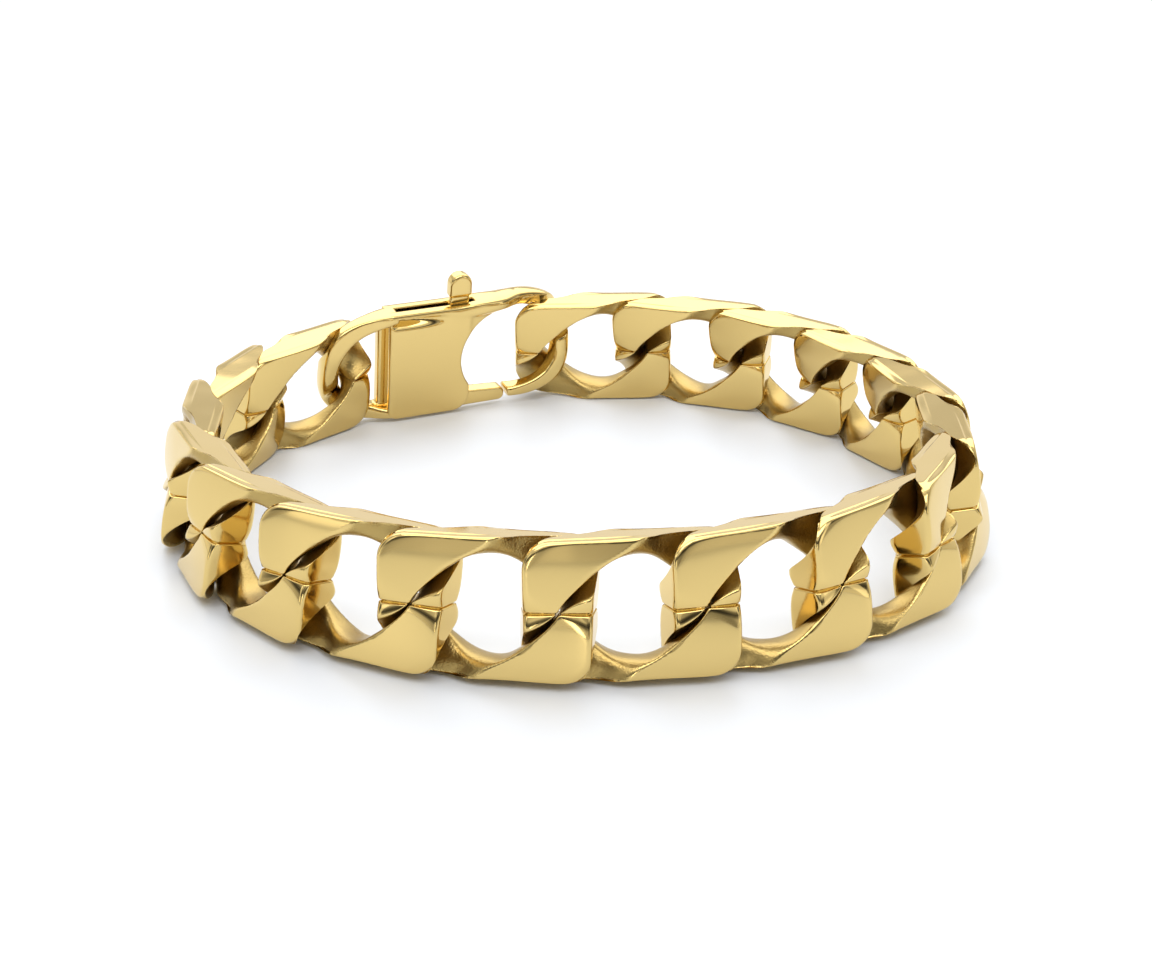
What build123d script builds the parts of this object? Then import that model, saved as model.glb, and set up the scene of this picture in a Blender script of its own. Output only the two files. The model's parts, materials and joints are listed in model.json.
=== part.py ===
from build123d import *
import math
import os

# A curb chain bracelet in millimetres, +Z up, lying as a closed loop on the surface Z = 0.
# The origin is on that surface, below the middle of the loop's box.
# Each piece has its own frame: x along the chain, to the right as seen from outside the loop,
# y up the band and z out of the loop.

# Band
LINK_COUNT = 17
PITCH = 11.3
BAND_HEIGHT = 11.6
BAND_THICKNESS = 4.0
END_BEND = 2.8
HOLE_HEIGHT = 8.4
CORNER_CHAMFER = 1.4
LINK_GAP = 0.3
BAND_LEAN = 10.0

# Twist of a strand round the line where it crosses its neighbour: its angle, the height at which it is
# complete, and the angle left free beside it so that the chain can flex
STRAND_TWIST = 112.0
TWIST_HEIGHT = 5.0
LINK_FLEX = 12.5
CLASP_FLEX = 16.0

# Clasp plate, with the bail at +x and the hook at -x
CLASP_SPAN = 23.4
CLASP_THICKNESS = 3.2
PLATE_RISE = 1.1
PLATE_LIFT = 0.1
PLATE_LENGTH = 9.4
PLATE_OVERLAP = 0.7
PLATE_CORNER = 1.2
FOOT_CORNER = 2.0
PLATE_BEVEL = 0.35
THROAT_DIAMETER = 10.4
THROAT_RISE = 0.5
THROAT_DEPTH = 1.1

# Bail and hook
RING_STRAND = 2.3
RING_BAR = 1.7
RING_OVERLAP_ANGLE = 6.0
BAIL_BAR = 1.2
BAIL_BAR_LAP = 0.8
BAIL_BAR_THICKNESS = 2.8
GROOVE_WIDTH = 0.35
GROOVE_DEPTH = 0.45
HOOK_OPENING = 4.3
HOOK_LIFT = 1.0

# Lever and its pin
LEVER_THICKNESS = 1.5
LEVER_SIDE_GAP = 0.15
LEVER_ARM = 1.7
PIVOT_ACROSS = 5.35
PIVOT_HEIGHT = 2.2
LEVER_EYE = 1.4
PIN_DIAMETER = 1.4
PIN_FIT = 0.03
PIVOT_CLEARANCE = 0.05
GATE_HEIGHT = 2.4
GATE_TIP_HEIGHT = 1.5
GATE_GAP = 0.4
KNOB_ACROSS = 8.0
KNOB_WIDTH = 2.6
KNOB_DEPTH = 1.8
KNOB_HEIGHT = 3.5
KNOB_NECK = 0.8
SLOT_END_GAP = 0.2
POCKET_WALL = 0.7
POCKET_GAP = 0.15
THROAT_WALL = 0.7
GATE_ROOM = 2.7

# Route of the loop: waves round a circle, each with its count, its share of the radius
# and the direction of its crest in degrees
ROUTE_WAVES = [
    (2, 0.033, 0.6),
    (3, 0.0186, 75.1),
    (4, 0.0124, -24.4),
]
HOOK_DIRECTION = 96.3

# Facets of the rings
LINK_STATIONS = 28
HALF_RING_STATIONS = 13
SECTION_SIDES = 10
END_CROWDING = 0.45
SQUARENESS = 2.4

# Worked out from the sizes above
HALF_PITCH = PITCH / 2
CLEAR_FROM = 0.1 * HALF_PITCH
CLEAR_FULL = 0.3 * HALF_PITCH
LINK_LENGTH = PITCH + LINK_GAP + 2 * END_BEND
RING_LENGTH = PITCH + LINK_GAP + 2 * RING_STRAND
REST_HEIGHT = (
    BAND_HEIGHT / 2 * math.cos(math.radians(BAND_LEAN))
    + BAND_THICKNESS / 2 * math.sin(math.radians(BAND_LEAN))
)
BAIL_CENTRE = CLASP_SPAN / 2 - HALF_PITCH
HOOK_CENTRE = HALF_PITCH - CLASP_SPAN / 2
PLATE_BACK = BAIL_CENTRE + PLATE_OVERLAP
PLATE_FOOT = PLATE_BACK - PLATE_LENGTH
PLATE_TOP = BAND_HEIGHT / 2 + PLATE_RISE
PLATE_BOTTOM = PLATE_LIFT - BAND_HEIGHT / 2
THROAT_CENTRE = PLATE_FOOT + THROAT_DEPTH - THROAT_DIAMETER / 2
PIVOT_X = PLATE_BACK - PIVOT_ACROSS
PIVOT_Y = PLATE_BOTTOM + PIVOT_HEIGHT
HOOK_TIP = PLATE_FOOT - HOOK_OPENING
KNOB_X = PLATE_BACK - KNOB_ACROSS
SLOT_END = KNOB_X - KNOB_WIDTH / 2 - SLOT_END_GAP

# The strand of a link and of the clasp's two half rings: outline, hole, the height of their middle, and
# the half depths and the offset of the sections, which are shares of the thickness
LINK_RING = {
    "middle": 0.0,
    "length": LINK_LENGTH,
    "height": 2 * BAND_HEIGHT - HOLE_HEIGHT,
    "outline_squareness": 7.0,
    "hole_length": LINK_LENGTH - 2 * END_BEND,
    "hole_height": HOLE_HEIGHT,
    "hole_squareness": 1.4,
    "end_half": 0.49 * BAND_THICKNESS,
    "middle_half": 0.505 * BAND_THICKNESS,
    "lobe_half": 0.34 * BAND_THICKNESS,
    "lobe_offset": 0.34 * BAND_THICKNESS,
}
BAIL_RING = {
    "middle": (PLATE_TOP + PLATE_BOTTOM) / 2,
    "length": RING_LENGTH,
    "height": PLATE_TOP - PLATE_BOTTOM,
    "outline_squareness": 2.8,
    "hole_length": RING_LENGTH - 2 * RING_STRAND,
    "hole_height": PLATE_TOP - PLATE_BOTTOM - 2 * RING_BAR,
    "hole_squareness": 2.2,
    "end_half": 0.36 * CLASP_THICKNESS,
    "middle_half": 0.46 * CLASP_THICKNESS,
    "lobe_half": 0.30 * CLASP_THICKNESS,
    "lobe_offset": 0.22 * CLASP_THICKNESS,
}
HOOK_RING = {
    **BAIL_RING,
    "middle": (PLATE_TOP + PLATE_BOTTOM + HOOK_LIFT) / 2,
    "height": PLATE_TOP - PLATE_BOTTOM - HOOK_LIFT,
    "hole_height": PLATE_TOP - PLATE_BOTTOM - HOOK_LIFT - 2 * RING_BAR,
}


def signed_power(value, exponent):
    return math.copysign(abs(value) ** exponent, value)


def rounded_box_point(angle, half_length, half_height, squareness):
    """A point of a rounded box's outline, from an ellipse at 2 to a sharp box at large values."""
    along = half_length * signed_power(math.cos(angle), 2 / squareness)
    up = half_height * signed_power(math.sin(angle), 2 / squareness)
    return along, up


def kept_clear(point, flex_angle):
    """Move a ring's point out of the space of the neighbour that crosses it.

    At each height the two strands share the space round the crossing line, each in its own sector.
    The sectors turn with the height, which twists the strand, and leave room for the chain to flex."""
    x, y, z = point
    ramp = min(max((abs(x) - CLEAR_FROM) / (CLEAR_FULL - CLEAR_FROM), 0), 1)
    side = math.copysign(1, x)
    turned_share = math.sin(math.pi / 2 * min(abs(y) / TWIST_HEIGHT, 1))
    turn = math.copysign(math.radians(STRAND_TWIST) * turned_share, y)
    outward = math.cos(turn)
    forward = -side * math.sin(turn)
    spread = math.tan(math.radians(flex_angle))
    for _ in range(3):
        beyond = side * x - HALF_PITCH
        depth = beyond * outward + z * forward
        across = abs(beyond * forward - z * outward)
        short = LINK_GAP / 2 + across * spread - depth
        if short > 0:
            x += side * ramp * short * outward
            z += ramp * short * forward
    return x, y, z


def ring_section(angle, ring, flex_angle):
    """One section of a twisted ring: a rounded box across the strand, at an angle round the ring."""
    hole = (ring["hole_length"] / 2, ring["hole_height"] / 2, ring["hole_squareness"])
    outline = (ring["length"] / 2, ring["height"] / 2, ring["outline_squareness"])
    inner = rounded_box_point(angle, *hole)
    outer = rounded_box_point(angle, *outline)
    half_width = math.dist(inner, outer) / 2
    across_x = (outer[0] - inner[0]) / (2 * half_width)
    across_y = (outer[1] - inner[1]) / (2 * half_width)
    middle_x = (outer[0] + inner[0]) / 2
    middle_y = (outer[1] + inner[1]) / 2 + ring["middle"]
    lobe = abs(math.sin(2 * angle))
    level = ring["end_half"] * math.cos(angle) ** 2 + ring["middle_half"] * math.sin(angle) ** 2
    half_depth = level * (1 - lobe) + ring["lobe_half"] * lobe
    centre_z = -ring["lobe_offset"] * math.sin(2 * angle)
    points = []
    for side in range(SECTION_SIDES):
        turn = 2 * math.pi * (side + 0.5) / SECTION_SIDES
        width, depth = rounded_box_point(turn, half_width, half_depth, SQUARENESS)
        point = (middle_x + across_x * width, middle_y + across_y * width, centre_z + depth)
        points.append(kept_clear(point, flex_angle))
    return points


def triangle(a, b, c):
    return Face(Wire.make_polygon([Vector(*a), Vector(*b), Vector(*c)], close=True))


def skin_between(sections, closed):
    """Triangles between neighbouring sections, and a fan over each end of an open run."""
    faces = []
    count = len(sections)
    last = count if closed else count - 1
    for index in range(last):
        here = sections[index]
        there = sections[(index + 1) % count]
        for side in range(SECTION_SIDES):
            turned = (side + 1) % SECTION_SIDES
            faces.append(triangle(here[side], there[side], there[turned]))
            faces.append(triangle(here[side], there[turned], here[turned]))
    if not closed:
        for section in (sections[0], sections[-1]):
            middle = tuple(sum(point[axis] for point in section) / SECTION_SIDES for axis in range(3))
            for side in range(SECTION_SIDES):
                faces.append(triangle(middle, section[side], section[(side + 1) % SECTION_SIDES]))
    return Solid(Shell(faces))


def ring_solid(ring, flex_angle, first, last, stations):
    """A ring's strand from one angle to another, or the whole ring.

    The sections are crowded at the end bends, where the strand twists fastest."""
    closed = abs(last - first) >= 360
    steps = stations if closed else stations - 1
    sections = []
    for index in range(stations):
        angle = math.radians(first + (last - first) * index / steps)
        angle -= END_CROWDING / 2 * math.sin(2 * angle)
        sections.append(ring_section(angle, ring, flex_angle))
    return skin_between(sections, closed)


def chamfered_box(length, bottom, top, thickness, corner):
    """The slab that a ring is ground to, with its four upright corners cut off."""
    with BuildSketch() as outline:
        with Locations((0, (bottom + top) / 2)):
            Rectangle(length, top - bottom)
        chamfer(outline.vertices(), corner)
    return extrude(outline.sketch, thickness / 2, both=True)


def curb_link():
    blank = ring_solid(LINK_RING, LINK_FLEX, 0, 360, LINK_STATIONS)
    slab = chamfered_box(LINK_LENGTH, -BAND_HEIGHT / 2, BAND_HEIGHT / 2, BAND_THICKNESS, CORNER_CHAMFER)
    return blank & slab


def route_radius(angle, scale):
    radius = 1.0
    for count, share, crest in ROUTE_WAVES:
        radius += share * math.cos(count * (angle - math.radians(crest)))
    return radius * scale


def route_point(angle, scale):
    radius = route_radius(angle, scale)
    return radius * math.cos(angle), radius * math.sin(angle)


def step_clockwise(angle, scale, chord):
    """The angle of the next point of the route, one chord further clockwise."""
    start = route_point(angle, scale)
    low = 0.0
    high = math.pi / 2
    for _ in range(60):
        middle = (low + high) / 2
        if math.dist(start, route_point(angle - middle, scale)) < chord:
            low = middle
        else:
            high = middle
    return angle - low


def chain_vertices():
    """The crossing points of the chain, clockwise from the hook, on a route that just closes."""
    low = PITCH
    high = PITCH * LINK_COUNT
    for _ in range(60):
        scale = (low + high) / 2
        angles = [math.radians(HOOK_DIRECTION)]
        for _ in range(LINK_COUNT):
            angles.append(step_clockwise(angles[-1], scale, PITCH))
        closing = step_clockwise(angles[-1], scale, CLASP_SPAN)
        if angles[0] - closing > 2 * math.pi:
            low = scale
        else:
            high = scale
    return [route_point(angle, scale) for angle in angles]


def place_between(start, end):
    """The frame of a piece that spans two vertices, leaning inwards at the top."""
    middle = ((start[0] + end[0]) / 2, (start[1] + end[1]) / 2, REST_HEIGHT)
    heading = math.degrees(math.atan2(start[1] - end[1], start[0] - end[0]))
    return Pos(*middle) * Rot(0, 0, heading) * Rot(90 - BAND_LEAN, 0, 0)


def clasp_plate():
    """The clasp's plate with its top arm over the round throat."""
    arm = THROAT_DIAMETER / 2
    with BuildSketch() as outline:
        with Locations(((PLATE_BACK + PLATE_FOOT) / 2, (PLATE_BOTTOM + PLATE_TOP) / 2)):
            Rectangle(PLATE_LENGTH, PLATE_TOP - PLATE_BOTTOM)
        with Locations(((HOOK_CENTRE + PLATE_FOOT) / 2, PLATE_TOP - arm / 2)):
            Rectangle(PLATE_FOOT - HOOK_CENTRE, arm)
        with Locations((THROAT_CENTRE, THROAT_RISE)):
            Circle(THROAT_DIAMETER / 2, mode=Mode.SUBTRACT)
        back = outline.vertices().sort_by(Axis.X)[-2:]
        fillet(back, PLATE_CORNER)
        foot = outline.vertices().sort_by(Axis.Y)[:2].sort_by(Axis.X)[0]
        fillet(foot, FOOT_CORNER)
    plate = extrude(outline.sketch, CLASP_THICKNESS / 2, both=True)
    rims = plate.faces().sort_by(Axis.Z)[0].edges() + plate.faces().sort_by(Axis.Z)[-1].edges()
    return chamfer(rims, PLATE_BEVEL)


def lever_pocket():
    """The slot inside the plate: open along the top and at the throat, where the gate comes out."""
    lowest = PIVOT_Y - LEVER_EYE - POCKET_GAP
    back = PLATE_BACK - POCKET_WALL
    above = PLATE_TOP + POCKET_WALL
    before = PLATE_FOOT - PLATE_CORNER
    gate_roof = PIVOT_Y + GATE_ROOM
    with BuildSketch() as outline:
        with Locations(((SLOT_END + back) / 2, (lowest + above) / 2)):
            Rectangle(back - SLOT_END, above - lowest)
        with Locations((THROAT_CENTRE, THROAT_RISE)):
            Circle(THROAT_DIAMETER / 2 + THROAT_WALL, mode=Mode.SUBTRACT)
        with Locations(((before + PIVOT_X) / 2, (lowest + gate_roof) / 2)):
            Rectangle(PIVOT_X - before, gate_roof - lowest)
    return extrude(outline.sketch, LEVER_THICKNESS / 2 + LEVER_SIDE_GAP, both=True)


def bail():
    quarter = 90 + RING_OVERLAP_ANGLE
    strand = ring_solid(BAIL_RING, CLASP_FLEX, -quarter, quarter, HALF_RING_STATIONS)
    slab = chamfered_box(RING_LENGTH, PLATE_BOTTOM, PLATE_TOP, CLASP_THICKNESS, CORNER_CHAMFER)
    loop = Pos(BAIL_CENTRE, 0, 0) * (strand & slab)
    bar_height = BAIL_RING["hole_height"] + 2 * BAIL_BAR_LAP
    bar = Box(BAIL_BAR, bar_height, BAIL_BAR_THICKNESS)
    return loop + Pos(PLATE_BACK + BAIL_BAR / 2, BAIL_RING["middle"], 0) * bar


def hook():
    half_middle = (HOOK_RING["length"] + HOOK_RING["hole_length"]) / 4
    tip_share = (HOOK_CENTRE - HOOK_TIP) / half_middle
    tip_angle = 270 - math.degrees(math.asin(tip_share)) / (1 + END_CROWDING)
    strand = ring_solid(HOOK_RING, CLASP_FLEX, 90 - RING_OVERLAP_ANGLE, tip_angle, HALF_RING_STATIONS)
    slab = chamfered_box(RING_LENGTH, PLATE_BOTTOM, PLATE_TOP, CLASP_THICKNESS, CORNER_CHAMFER)
    return Pos(HOOK_CENTRE, 0, 0) * (strand & slab)


def groove():
    """The shallow line round the plate where the bail is soldered on."""
    height = PLATE_TOP - PLATE_BOTTOM
    middle = (PLATE_TOP + PLATE_BOTTOM) / 2
    level = CLASP_THICKNESS / 2 - GROOVE_DEPTH / 2
    cuts = Box(GROOVE_WIDTH, height, GROOVE_DEPTH)
    return Pos(PLATE_BACK, middle, level) * cuts + Pos(PLATE_BACK, middle, -level) * cuts


def clasp_body():
    body = clasp_plate() + bail() + hook()
    body = body - groove() - lever_pocket()
    pin_hole = Pos(PIVOT_X, PIVOT_Y, 0) * Cylinder(PIN_DIAMETER / 2 + PIN_FIT, 2 * CLASP_THICKNESS)
    return body - pin_hole


def clasp_pin():
    return Pos(PIVOT_X, PIVOT_Y, 0) * Cylinder(PIN_DIAMETER / 2, CLASP_THICKNESS)


def clasp_lever():
    """The lever: the gate tip in the throat, the eye on the pin, the upright arm and the thumb knob."""
    gate_bottom = PIVOT_Y - LEVER_EYE
    gate_end = HOOK_TIP + GATE_GAP
    tip_round = GATE_TIP_HEIGHT / 2
    tip_y = gate_bottom + GATE_HEIGHT / 2
    knob_round = PLATE_TOP + KNOB_HEIGHT - KNOB_WIDTH / 2
    with BuildSketch() as shape:
        with Locations((PIVOT_X, PIVOT_Y)):
            Circle(LEVER_EYE)
        with BuildLine():
            Polyline(
                (PIVOT_X, gate_bottom),
                (PLATE_FOOT, gate_bottom),
                (gate_end + tip_round, tip_y - tip_round),
                (gate_end + tip_round, tip_y + tip_round),
                (PLATE_FOOT, gate_bottom + GATE_HEIGHT),
                (PIVOT_X, gate_bottom + GATE_HEIGHT),
                close=True,
            )
        make_face()
        with Locations((gate_end + tip_round, tip_y)):
            Circle(tip_round)
        with BuildLine():
            Polyline(
                (PIVOT_X - LEVER_ARM / 2, PIVOT_Y),
                (PIVOT_X + LEVER_ARM / 2, PIVOT_Y),
                (KNOB_X + LEVER_ARM / 2, PLATE_TOP),
                (KNOB_X + LEVER_ARM / 2, knob_round),
                (KNOB_X - LEVER_ARM / 2, knob_round),
                (KNOB_X - LEVER_ARM / 2, PLATE_TOP),
                close=True,
            )
        make_face()
        with Locations((PIVOT_X, PIVOT_Y)):
            Circle(PIN_DIAMETER / 2 + PIVOT_CLEARANCE, mode=Mode.SUBTRACT)
    lever = extrude(shape.sketch, LEVER_THICKNESS / 2, both=True)
    with BuildSketch() as grip:
        with Locations((KNOB_X, (PLATE_TOP + KNOB_NECK + knob_round) / 2)):
            Rectangle(KNOB_WIDTH, knob_round - PLATE_TOP - KNOB_NECK)
        with Locations((KNOB_X, knob_round)):
            Circle(KNOB_WIDTH / 2)
    return lever + extrude(grip.sketch, KNOB_DEPTH / 2, both=True)


def main():
    vertices = chain_vertices()
    link = curb_link()
    pieces = {}
    for index in range(LINK_COUNT):
        place = place_between(vertices[index], vertices[index + 1])
        pieces[f"link_{index + 1:02d}"] = place * link
    clasp_place = place_between(vertices[-1], vertices[0])
    pieces["clasp_body"] = clasp_place * clasp_body()
    pieces["clasp_pin"] = clasp_place * clasp_pin()
    pieces["clasp_lever"] = clasp_place * clasp_lever()
    box = Compound(children=[Compound(piece.solids()) for piece in pieces.values()]).bounding_box()
    to_origin = Pos(-(box.min.X + box.max.X) / 2, -(box.min.Y + box.max.Y) / 2, -box.min.Z)
    os.makedirs("parts", exist_ok=True)
    for name, piece in pieces.items():
        export_step((to_origin * piece).solid(), f"parts/{name}.step")
    pivot = Plane(to_origin * clasp_place * Pos(PIVOT_X, PIVOT_Y, 0))
    print("box", box.size, "middle of the route", to_origin.position)
    print("lever pivot", pivot.origin, "axis out of the loop", pivot.z_dir)


main()
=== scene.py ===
# %% [markdown]
# A curb chain bracelet is a row of flat, twisted rings that lie in one another and end in a clasp.
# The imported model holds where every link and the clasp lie. This lesson loads it as a fixed frame, models
# each piece again with soft cast edges, gives it a gold finish and lights it like a product shot.

# %% Load the frame
import bmesh
import bpy
import json
import math
import numpy as np
from mathutils import Matrix, Vector


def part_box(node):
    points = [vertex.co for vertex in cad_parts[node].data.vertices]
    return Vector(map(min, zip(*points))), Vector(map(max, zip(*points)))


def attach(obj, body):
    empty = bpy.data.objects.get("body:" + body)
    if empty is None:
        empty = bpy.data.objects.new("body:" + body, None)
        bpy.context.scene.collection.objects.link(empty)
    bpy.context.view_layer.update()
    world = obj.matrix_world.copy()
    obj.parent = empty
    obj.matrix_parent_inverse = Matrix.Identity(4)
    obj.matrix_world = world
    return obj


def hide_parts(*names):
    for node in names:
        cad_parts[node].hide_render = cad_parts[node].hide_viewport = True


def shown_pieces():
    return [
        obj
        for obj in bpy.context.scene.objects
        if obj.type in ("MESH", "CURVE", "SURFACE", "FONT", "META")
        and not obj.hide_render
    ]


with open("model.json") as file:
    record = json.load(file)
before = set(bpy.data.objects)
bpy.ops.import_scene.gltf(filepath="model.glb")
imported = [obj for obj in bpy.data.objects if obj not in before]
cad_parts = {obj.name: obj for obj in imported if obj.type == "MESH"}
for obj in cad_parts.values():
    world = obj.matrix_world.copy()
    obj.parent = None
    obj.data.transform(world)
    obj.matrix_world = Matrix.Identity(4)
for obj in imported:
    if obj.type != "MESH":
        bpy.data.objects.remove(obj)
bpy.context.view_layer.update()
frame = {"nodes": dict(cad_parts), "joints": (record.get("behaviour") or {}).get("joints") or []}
MM = 0.001
LINKS = sorted(name for name in frame["nodes"] if name.startswith("link_"))

# %% [markdown]
# The camera comes first, so that every later render can be laid over the photograph. A product shot of
# jewellery uses a long lens from about 20 degrees above the table. The image is taken as 1152 by 979.

# %% Camera
LENS = 58.42
SENSOR = 36.0
CAMERA_PLACE = Vector((0.722, -164.987, 70.484))
CAMERA_TILT = math.radians(22.44)

camera = bpy.data.objects.new("camera", bpy.data.cameras.new("camera"))
camera.data.lens = LENS
camera.data.sensor_width = SENSOR
camera.data.clip_start = MM
camera.location = CAMERA_PLACE * MM
camera.rotation_euler = (math.radians(90) - CAMERA_TILT, 0, 0)
bpy.context.scene.collection.objects.link(camera)
bpy.context.scene.camera = camera
print("camera at", [round(value, 3) for value in camera.location])

# %% [markdown]
# Each link was laid at its own place round the loop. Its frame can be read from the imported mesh: a link
# turned half round about its length, its height or its thickness looks the same, so those three lines
# are the main axes of its points. The axis with the widest spread is the length.

# %% Place of a link


def link_place(name):
    """The matrix from a link's own frame, x along, y up and z out of the loop, to its place."""
    points = np.array([vertex.co for vertex in frame["nodes"][name].data.vertices])
    middle = (points.max(axis=0) + points.min(axis=0)) / 2
    _, axes = np.linalg.eigh(np.cov((points - points.mean(axis=0)).T))
    outward = Vector(axes[:, 0])
    upward = Vector(axes[:, 1])
    if outward.dot(Vector(middle)) < 0:
        outward = -outward
    if upward.z < 0:
        upward = -upward
    along = upward.cross(outward)
    turned = Matrix((along, upward, outward)).transposed().to_4x4()
    return Matrix.Translation(Vector(points.mean(axis=0))) @ turned


place_of = {name: link_place(name) for name in LINKS}
print("lean of a link in degrees", round(math.degrees(math.asin(place_of["link_01"].col[2].z)), 2))

# %% [markdown]
# A curb link starts as a plain ring. It is twisted until its two ends stand out of its plane, one to each
# side, and then ground flat on both faces, which is what gives the broad mirrors. Here the ring is a
# circle spun round an axis, and each of its points is then moved: first to the oval link, then out of the
# way of the neighbour that crosses it, and last onto the flat faces. A rounded step takes the place of
# each sharp cut, because a polished edge always shows a thin bright line.

# %% Sizes of a link in millimetres
PITCH = 11.3
BAND_HEIGHT = 11.6
BAND_THICKNESS = 4.0
END_BEND = 2.8
HOLE_HEIGHT = 8.4
HOLE_PLAY = 0.3
GRINDING_ALLOWANCE = 0.3
CORNER_RADIUS = 2.2
LINK_GAP = 0.1
NECK = 0.5
STRAND_TWIST = 112.0
TWIST_HEIGHT = 5.0
LINK_FLEX = 10.5
DIVE_LEVEL = 3.6
DIVE_START = 1.0
DIVE_START_RISE = 2.4
DIVE_END = 2.5
DIVE_END_RISE = 1.8
CLEAR_BLEND = 0.14
CLEAR_PASSES = 3
HALF_PITCH = PITCH / 2
LINK_LENGTH = PITCH + HOLE_PLAY + 2 * END_BEND
LINK_RING = {
    "middle": 0.0,
    "length": LINK_LENGTH + GRINDING_ALLOWANCE,
    "height": 2 * BAND_HEIGHT - HOLE_HEIGHT,
    "outline_squareness": 6.0,
    "hole_length": LINK_LENGTH - 2 * END_BEND,
    "hole_height": HOLE_HEIGHT,
    "hole_squareness": 1.4,
    "end_half": 0.575 * BAND_THICKNESS,
    "middle_half": 0.515 * BAND_THICKNESS,
    "lobe_half": 0.34 * BAND_THICKNESS,
    "lobe_offset": 0.28 * BAND_THICKNESS,
    "end_squareness": 5.0,
    "middle_squareness": 2.6,
}
print("a link is", round(LINK_LENGTH, 2), "by", BAND_HEIGHT, "by", BAND_THICKNESS, "mm")

# %% Outlines and soft steps


def rounded_box_point(angle, half_length, half_height, squareness):
    """The point at an angle on a rounded box's outline: an ellipse at 2, a sharp box at large values."""
    along = math.cos(angle)
    up = math.sin(angle)
    stretch = (abs(along) / half_length) ** squareness + (abs(up) / half_height) ** squareness
    reach = stretch ** (-1 / squareness)
    return along * reach, up * reach


def blended(start, end, share):
    return start + (end - start) * share


def smooth_step(value, start, end):
    """From 0 at the start to 1 at the end, level at both."""
    share = min(max((value - start) / (end - start), 0), 1)
    return share * share * (3 - 2 * share)


def soft_excess(depth, blend):
    """How far a point is pushed: nothing well inside, all of it outside, and a smooth bend between."""
    if depth > blend:
        return depth
    if depth > -blend:
        return (depth + blend) ** 2 / (4 * blend)
    return 0.0


print("a rounded square's corner", [round(value, 2) for value in rounded_box_point(math.pi / 4, 1, 1, 6)])

# %% [markdown]
# In the band each link's end lies in its neighbour's hole, so two strands have to share the space there.
# The functions below work out, for every point of the ring, a place that its neighbours leave free. A
# twist with the Simple Deform modifier turns the strand evenly, and the links would cut into each other.

# %% Shape of a ring
HOLE_POWER = 8
LOBE_POWER = 4


def kept_clear(point, flex_angle):
    """Move a ring's point out of the space of the neighbours that cross it at its two ends.

    The two strands share the space round the crossing line, each in its own sector, and the sectors turn
    with the height. That is the twist of the strand. Between the ends it dives from one sector to the
    other, first at the hole and last at the rim."""
    x, y, z = point
    height = abs(y)
    turned_share = math.sin(math.pi / 2 * min(height / TWIST_HEIGHT, 1))
    turn = math.copysign(math.radians(STRAND_TWIST) * turned_share, y)
    outward = math.cos(turn)
    spread = math.tan(math.radians(flex_angle))
    rim_share = max(height - DIVE_LEVEL, 0) / (BAND_HEIGHT / 2 - DIVE_LEVEL)
    dive_start = DIVE_START + DIVE_START_RISE * (rim_share - 1)
    dive_end = DIVE_END + DIVE_END_RISE * rim_share
    for side in (-1, 1):
        ramp = smooth_step(side * x, dive_start, dive_end)
        forward = -side * math.sin(turn)
        for _ in range(CLEAR_PASSES if ramp > 0 else 0):
            beyond = side * x - HALF_PITCH
            depth = beyond * outward + z * forward
            across = min(max(abs(beyond * forward - z * outward) - NECK, 0), END_BEND)
            push = ramp * soft_excess(LINK_GAP / 2 + across * spread - depth, CLEAR_BLEND)
            x += side * push * outward
            z += push * forward
    return x, y, z


def ring_point(angle, turn, ring, flex_angle):
    """A point of a twisted ring, at an angle round the ring and a turn round its strand.

    The hole is a plain oval only at the ring's top and bottom. The strand is thinnest, and stands out of
    the plane most, in its lobes halfway between there and the ends. The higher a power, the shorter the
    stretch that it changes."""
    roundness = blended(ring["hole_squareness"], 2, math.sin(angle) ** HOLE_POWER)
    inner = rounded_box_point(angle, ring["hole_length"] / 2, ring["hole_height"] / 2, roundness)
    outer = rounded_box_point(angle, ring["length"] / 2, ring["height"] / 2, ring["outline_squareness"])
    half_width = math.dist(inner, outer) / 2
    lobe = math.sin(2 * angle) ** LOBE_POWER
    middle_share = math.sin(angle) ** 2
    level = ring["end_half"] * (1 - middle_share) + ring["middle_half"] * middle_share
    half_depth = level * (1 - lobe) + ring["lobe_half"] * lobe
    centre_z = -ring["lobe_offset"] * math.sin(2 * angle)
    squareness = blended(ring["end_squareness"], ring["middle_squareness"], middle_share ** 2)
    width, depth = rounded_box_point(turn, half_width, half_depth, squareness)
    x = (outer[0] + inner[0]) / 2 + math.cos(angle) * width
    y = (outer[1] + inner[1]) / 2 + ring["middle"] + math.sin(angle) * width
    return kept_clear((x, y, centre_z + depth), flex_angle)


hole_end = ring_point(0, math.pi, LINK_RING, LINK_FLEX)
print("the hole's end is at", [round(value, 2) for value in hole_end])

# %% [markdown]
# Grinding and polishing come last on the real link. The broad faces end up a little crowned, because a
# buffing wheel always takes more at the edges and most at the corners, and every edge between two faces
# is a narrow round one. Across each end of a link runs a fine slit, where the two halves of the ring meet,
# and it parts the end of a face into two panels. Each point is pressed onto a slab of that form. A bevel
# modifier would round the edges too, but a flat face without a crown mirrors as one dead tone.

# %% Grind the faces
EDGE_RADIUS = 0.22
EDGE_BLEND = 0.14
FACE_CROWN = 0.26
CORNER_DROP = 1.9
CORNER_FROM = 0.8
SLIT_WIDTH = 0.06
SLIT_DEPTH = 0.5
SLIT_FADE = 2.5
SHOULDER_WIDTH = 0.3
SHOULDER_WIDENING = 0.5
SHOULDER_DEPTH = 0.04
SHOULDER_START = 0.3


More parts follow.
